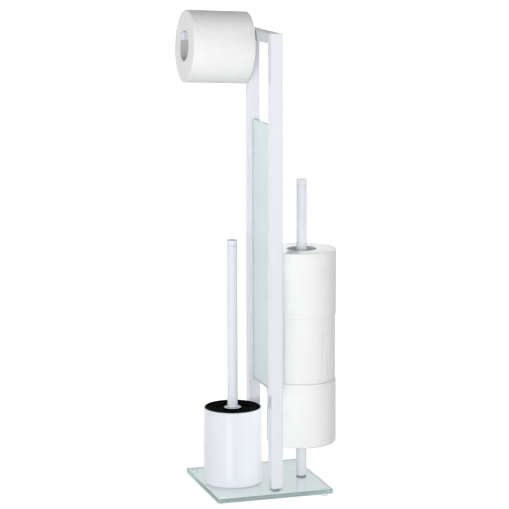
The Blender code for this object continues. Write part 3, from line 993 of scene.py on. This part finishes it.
def make_bristles():
    """Tufts of trimmed nylon strands, set in staggered rows round the core and its tip."""
    place, high = seat("brush_bristles")
    core_low, core_high = measured("brush_head_core", place)
    radius = high.x - envelope_margin
    envelope = (radius, envelope_margin, high.z - envelope_margin)
    draw = random.Random(bristle_seed)
    work = bmesh.new()
    counts = [*tufts_in_tip_rows, *[tufts_in_row] * (tuft_rows - len(tufts_in_tip_rows))]
    for row, count in enumerate(counts):
        for tuft in range(count):
            turn = math.tau * (tuft + row / 2) / count
            root, direction = tuft_root(row, turn, core_low.z, core_high.z - tuft_hole_radius)
            for _ in range(strands_in_tuft):
                offset = Vector([draw.gauss(0, tuft_hole_radius / 2) for _ in range(3)])
                spread = Vector([draw.gauss(0, tuft_spread / radius / 2) for _ in range(3)])
                way = (direction + spread).normalized()
                add_strand(work, root + offset, way, envelope, draw)
    show("brush_bristles", settled("brush_bristles", work), place)


def add_strand(work, root, direction, envelope, draw):
    """One strand, slightly bent, from inside the core to the trimmed outside."""
    length = strand_length(root, direction, envelope) * draw.uniform(shortest_strand_share, 1)
    side = direction.orthogonal().normalized()
    other = direction.cross(side)
    bend = side * draw.uniform(-1, 1) * strand_droop + other * draw.uniform(-1, 1) * strand_droop
    loops = []
    for step in range(strand_steps + 1):
        share = step / strand_steps
        centre = root + direction * (share * (length + strand_root_depth) - strand_root_depth)
        centre += bend * math.sin(math.pi * share)
        thickness = strand_radius * (1 - strand_taper_share * share)
        out = [side * math.cos(turn) + other * math.sin(turn) for turn in turns(strand_sides)]
        loops.append([work.verts.new(centre + way * thickness) for way in out])
    for lower, upper in zip(loops, loops[1:]):
        for corner in range(strand_sides):
            following = (corner + 1) % strand_sides
            work.faces.new((lower[corner], lower[following], upper[following], upper[corner]))
    work.faces.new(loops[0][::-1])
    work.faces.new(loops[-1])


class Crease(NamedTuple):
    """A soft dent in a roll's side. Its lean is the turn of its long way from the roll's axis."""

    turn: float
    height_share: float
    lean: float
    length: float
    width: float
    depth: float

    def dip(self, turn, height, radius, roll_width):
        swing = (turn - math.radians(self.turn) + math.pi) % math.tau - math.pi
        round_way = swing * radius
        up_way = height - self.height_share * roll_width
        lean = math.radians(self.lean)
        along = round_way * math.sin(lean) + up_way * math.cos(lean)
        across = round_way * math.cos(lean) - up_way * math.sin(lean)
        return self.depth * math.exp(-((along / self.length) ** 2) - (across / self.width) ** 2)


class Roll:
    """A tissue roll on its card core, wound about Z."""

    def __init__(self, name, place, seed, edges, tail_turn, creases, trim=0.0):
        self.name = name
        self.place = place
        self.seed = seed
        self.edges = edges
        self.tail_turn = math.radians(tail_turn)
        self.creases = creases
        low, high = measured(f"{name}_paper", place)
        self.width = high.z - low.z + 2 * end_fluff
        self.base = low.z - end_fluff
        self.radius = high.y - trim
        core_high = measured(f"{name}_core", place)[1]
        self.core_radius = core_high.y
        self.bore = core_high.y + slot_clearance

    def make(self):
        show(f"{self.name}_paper", self.paper(), self.place)
        show(f"{self.name}_core", self.core(), self.place)

    def side_dip(self, turn, height):
        """How far the side lies inside the full radius: the last sheet's step, waves and creases."""
        around = Vector(swung(1, turn, 0))
        wave = noise.noise(around * wave_scale + Vector((0, 0, wave_rise * height + self.seed)))
        fine = noise.noise(around * ripple_scale + Vector((self.seed, 0, ripple_rise * height)))
        fold = noise.noise(Vector((turn * fold_scale, self.seed * 2.7, height * fold_rise)))
        patch = Vector((0, self.seed, fold_patch_rise * height))
        where = noise.noise(around * fold_patch_scale + patch)
        level, wave_share, fine_share = side_shares
        dip = sheet_step * (((turn - self.tail_turn) / math.tau) % 1)
        dip += side_unevenness * (level + wave_share * wave + fine_share * fine)
        dip += fold_depth * max(0, 1 - abs(fold) / fold_width) * max(0, where)
        return dip + sum(crease.dip(turn, height, self.radius, self.width) for crease in self.creases)

    def end_dip(self, turn, radius, end):
        """How far the wound layers lie below the roll's full width at an end."""
        layer = (radius - self.bore) / layer_pitch + turn / math.tau
        coarse = noise.noise(Vector((layer * layer_band_scale, self.seed + 5 * end, 0.3)))
        fine = noise.noise(Vector((layer, self.seed * 1.7 + 3 * end, 0.8 * math.cos(turn))))
        lean = noise.noise(Vector(swung(1, turn, self.seed + end)) * 1.1)
        level, coarse_share, fine_share, lean_share = end_shares
        uneven = level + coarse_share * coarse + fine_share * fine + lean_share * lean
        return end_unevenness * uneven

    def rim(self, edge):
        """(radius, height) points from the bore out over one end, whose edge is a quarter circle."""
        reach = self.radius - edge
        pace = (reach - self.bore) / paper_end_steps
        flat = [(self.bore + pace * step, 0) for step in range(paper_end_steps)]
        for step in range(paper_edge_steps + 1):
            angle = math.pi / 2 * step / paper_edge_steps
            flat.append((reach + edge * math.sin(angle), edge * (1 - math.cos(angle))))
        return flat

    def outline(self):
        """(radius, height) points over the first end, along the side and back over the second end."""
        first, second = self.edges
        length = self.width - first - second
        rise = [first + length * step / paper_side_steps for step in range(1, paper_side_steps)]
        upper = [(radius, self.width - height) for radius, height in reversed(self.rim(second))]
        return self.rim(first) + [(self.radius, height) for height in rise] + upper

    def paper(self):
        rings = []
        for radius, height in self.outline():
            outward = (radius - self.bore) / (self.radius - self.bore)
            towards_end = 2 * height / self.width - 1
            end_share = math.copysign(abs(towards_end) ** 9, towards_end)
            ring = []
            for turn in turns(paper_turn_steps):
                reach = radius - self.side_dip(turn, height) * outward**4
                level = height - self.end_dip(turn, radius, towards_end > 0) * end_share
                ring.append(swung(reach, turn, self.base + level))
            rings.append(ring)
        return skinned(f"{self.name}_paper", rings, closed=True)

    def core(self):
        """Card tube with the step of its spiral lap, its ends a little uneven."""
        points = points_in(f"{self.name}_core", self.place)
        wall = self.core_radius - min(math.hypot(point.x, point.y) for point in points)
        levels = [step / core_steps for step in range(core_steps + 1)]
        outside = [(share, self.core_radius) for share in levels]
        inside = [(share, self.core_radius - wall + core_seam_depth) for share in reversed(levels)]
        rings = []
        for share, radius in outside + inside:
            ring = []
            for turn in turns(round_sides):
                around = Vector(swung(3, turn, self.seed + share))
                ragged = core_end_unevenness * (0.5 + noise.noise(around))
                height = share * self.width + ragged * ((share == 0) - (share == 1))
                lap = (height / core_seam_pitch - turn / math.tau) % 1
                ring.append(swung(radius - core_seam_depth * lap, turn, self.base + height))
            rings.append(ring)
        return skinned(f"{self.name}_core", rings, closed=True)


def make_rolls():
    hanging_creases = (
        Crease(-40, 0.90, 58, 0.010, 0.0018, 0.0006),
        Crease(-62, 0.88, 66, 0.012, 0.0016, 0.0006),
        Crease(-84, 0.91, 72, 0.013, 0.0020, 0.0005),
        Crease(-66, 0.79, 60, 0.009, 0.0022, 0.0004),
    )
    lower_creases = (
        Crease(-60, 0.90, 78, 0.012, 0.0016, 0.0010),
        Crease(-75, 0.30, 12, 0.022, 0.0022, 0.0004),
    )
    middle_creases = (
        Crease(-68, 0.42, 4, 0.026, 0.0019, 0.0008),
        Crease(-58, 0.34, -6, 0.022, 0.0017, 0.0007),
        Crease(-48, 0.40, 3, 0.028, 0.0021, 0.0006),
        Crease(-80, 0.06, 84, 0.010, 0.0012, 0.0009),
        Crease(-58, 0.05, 96, 0.012, 0.0014, 0.0010),
    )
    upper_creases = (Crease(-120, 0.12, 60, 0.018, 0.0024, 0.0004),)
    Roll("hanging_roll", tilted(), 2.3, (hanging_edge, hanging_edge), 150, hanging_creases).make()
    stacked = (
        ("lower", 5.1, (resting_edge, ledge_edge), 100, lower_creases, 0.0),
        ("middle", 7.9, (tight_edge, roll_edge), 60, middle_creases, middle_roll_trim),
        ("upper", 11.4, (roll_edge, roll_edge), 130, upper_creases, 0.0),
    )
    for name, seed, edges, tail_turn, creases, trim in stacked:
        node = f"spare_roll_{name}"
        Roll(node, upright(f"{node}_paper"), seed, edges, tail_turn, creases, trim).make()


def finish_hidden_nodes():
    """Every CAD node that still shows takes its slot's finish."""
    for node, obj in frame["nodes"].items():
        if not obj.hide_render:
            obj.data.materials.clear()
            obj.data.materials.append(finishes[slot_of[node]])


def card(name, corners, material):
    """Flat four-cornered piece of the setting."""
    mesh = bpy.data.meshes.new(name)
    mesh.from_pydata(corners, [], [(0, 1, 2, 3)])
    mesh.materials.append(material)
    obj = placed(name, mesh)
    return obj


def make_floor():
    """White floor that keeps the stand's soft shadow and fades to plain white away from it."""
    paint = Finish("floor_white", floor_color, floor_roughness, Specular_IOR_Level=0.0)
    distance = paint.add("VectorMath", paint.places, operation="LENGTH")
    fade = paint.between(distance.outputs["Value"], floor_glow_share, 1, shadow_reach, 2 * shadow_reach)
    share = paint.math("MULTIPLY", paint.seen_directly(paint.add("LightPath").outputs), fade)
    paint.blend(share, paint.shader.outputs[0], paint.glow(floor_glow))
    half = floor_size / 2
    corners = [(-half, -half, 0), (half, -half, 0), (half, half, 0), (-half, half, 0)]
    card("floor", corners, paint.material)


def make_reflector():
    """Bright strip on the floor in front of the holder, seen only as the highlight on what shines."""
    material = bpy.data.materials.new("reflector")
    strip = Nodes(material)
    strip.feed(strip.output.inputs[0], strip.glow(reflector_glow))
    spread = math.tan(math.radians(reflector_half_angle))
    near = reflector_start * spread
    far = reflector_end * spread
    corners = [(-near, -reflector_start, 0), (near, -reflector_start, 0)]
    corners += [(far, -reflector_end, 0), (-far, -reflector_end, 0)]
    obj = card("reflector", corners, material)
    centre = upright("holder_cup").translation
    place = Matrix.Translation((centre.x, centre.y, reflector_lift))
    obj.matrix_world = place @ rotation(key_azimuth, "Z")
    for way in ("camera", "diffuse", "transmission", "shadow"):
        setattr(obj, f"visible_{way}", False)


def make_world():
    """White where it is looked at, dimmer in reflections, and as light brightest at the horizon."""
    world = bpy.data.worlds.new("studio")
    bpy.context.scene.world = world
    sky = Nodes(world)
    light = sky.tree.nodes["Background"]
    sky.feed(light.inputs["Color"], (*sky_color, 1))
    height = sky.split(sky.add("TexCoord").outputs["Generated"])[2]
    fade = sky.between(height, horizon_light, overhead_light, 0, light_fade_height)
    sky.feed(light.inputs["Strength"], fade)
    path = sky.add("LightPath").outputs
    mirrored = sky.math("SUBTRACT", path["Is Glossy Ray"], path["Is Transmission Ray"])
    level = sky.between(mirrored, 1, mirrored_light, 0, 1)
    looked_at = sky.add("Background", (1, 1, 1, 1), level)
    sky.blend(sky.seen_directly(path), light.outputs[0], looked_at.outputs[0])


def lamp(name, azimuth, elevation, width, height, power, target=None, spread=180):
    """Soft box that faces the target or the stand's middle. Azimuth 0 is in front, 90 on the right."""
    light = bpy.data.lights.new(name, "AREA")
    light.shape = "RECTANGLE"
    light.size = width
    light.size_y = height
    light.energy = power
    light.spread = math.radians(spread)
    obj = placed(name, light)
    middle = (solid_box[0] + solid_box[1]) / 2
    rise = math.radians(elevation)
    back = Vector(swung(math.cos(rise), math.radians(azimuth - 90), math.sin(rise)))
    obj.location = (target or middle) + back * lamp_distance
    obj.rotation_euler = back.to_track_quat("Z", "Y").to_euler()
    return obj


def linked(name, nodes, state="INCLUDE"):
    """A group of fine surfaces: the only ones that a lamp counts, or those that it leaves out."""
    group = bpy.data.collections.new(name)
    for node in nodes:
        group.objects.link(bpy.data.objects[f"{node}_surface"])
    for entry in group.collection_objects:
        entry.light_linking.link_state = state
    return group


def make_lamps():
    """Soft boxes from both sides, one for the paper and one for the cup alone, and a narrow beam."""
    papers = [node for node in frame["nodes"] if node.endswith("_paper")]
    key = lamp("key", key_azimuth, low_elevation, *key_box, key_power)
    key.visible_glossy = False
    key.light_linking.receiver_collection = linked("unlit_by_key", ["top_bar", *papers], "EXCLUDE")
    paper_key = lamp("paper_key", paper_key_azimuth, low_elevation, *key_box, paper_key_power)
    paper_key.light_linking.receiver_collection = linked("papers", papers)
    paper_key.light_linking.blocker_collection = linked("post_left_out", ["front_post"], "EXCLUDE")
    lamp("fill", fill_azimuth, low_elevation, *wide_box, fill_power)
    low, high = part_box("spare_roll_upper_paper")
    stack_top = Vector(((low.x + high.x) / 2, (low.y + high.y) / 2, high.z))
    lamp("beam", beam_azimuth, beam_elevation, *beam_box, beam_power, stack_top, beam_spread)
    cup = upright("holder_cup").translation
    side = lamp("side", side_azimuth, side_elevation, *wide_box, side_power, cup)
    side.visible_glossy = False
    side.light_linking.receiver_collection = linked("holder", ["holder_cup"])
    side.light_linking.blocker_collection = side.light_linking.receiver_collection


def make_camera():
    data = bpy.data.cameras.new("photo_camera")
    data.sensor_width = sensor_width
    data.lens = focal_length_pixels / photo_width * sensor_width
    camera = placed("photo_camera", data)
    turn = rotation(camera_azimuth, "Z")
    pitch = rotation(90 - camera_pitch, "X")
    roll = rotation(camera_roll, "Z")
    camera.matrix_world = Matrix.Translation(camera_place) @ turn @ pitch @ roll
    bpy.context.scene.camera = camera


make_base()
make_post("front_post", 1)
make_post("rear_post", -1)
make_gaskets()
make_top_bar()
make_panel()
make_arm()
for tube_node in ("spare_rod", "brush_handle"):
    make_tube(tube_node)
    make_cap(f"{tube_node}_cap")
make_stop()
make_holder()
make_brush()
for round_node in ("brush_neck", "brush_head_core"):
    make_round_copy(round_node)
make_bristles()
make_rolls()
finish_hidden_nodes()
make_floor()
make_reflector()
make_world()
make_lamps()
make_camera()
bpy.context.scene.view_settings.view_transform = "Standard"
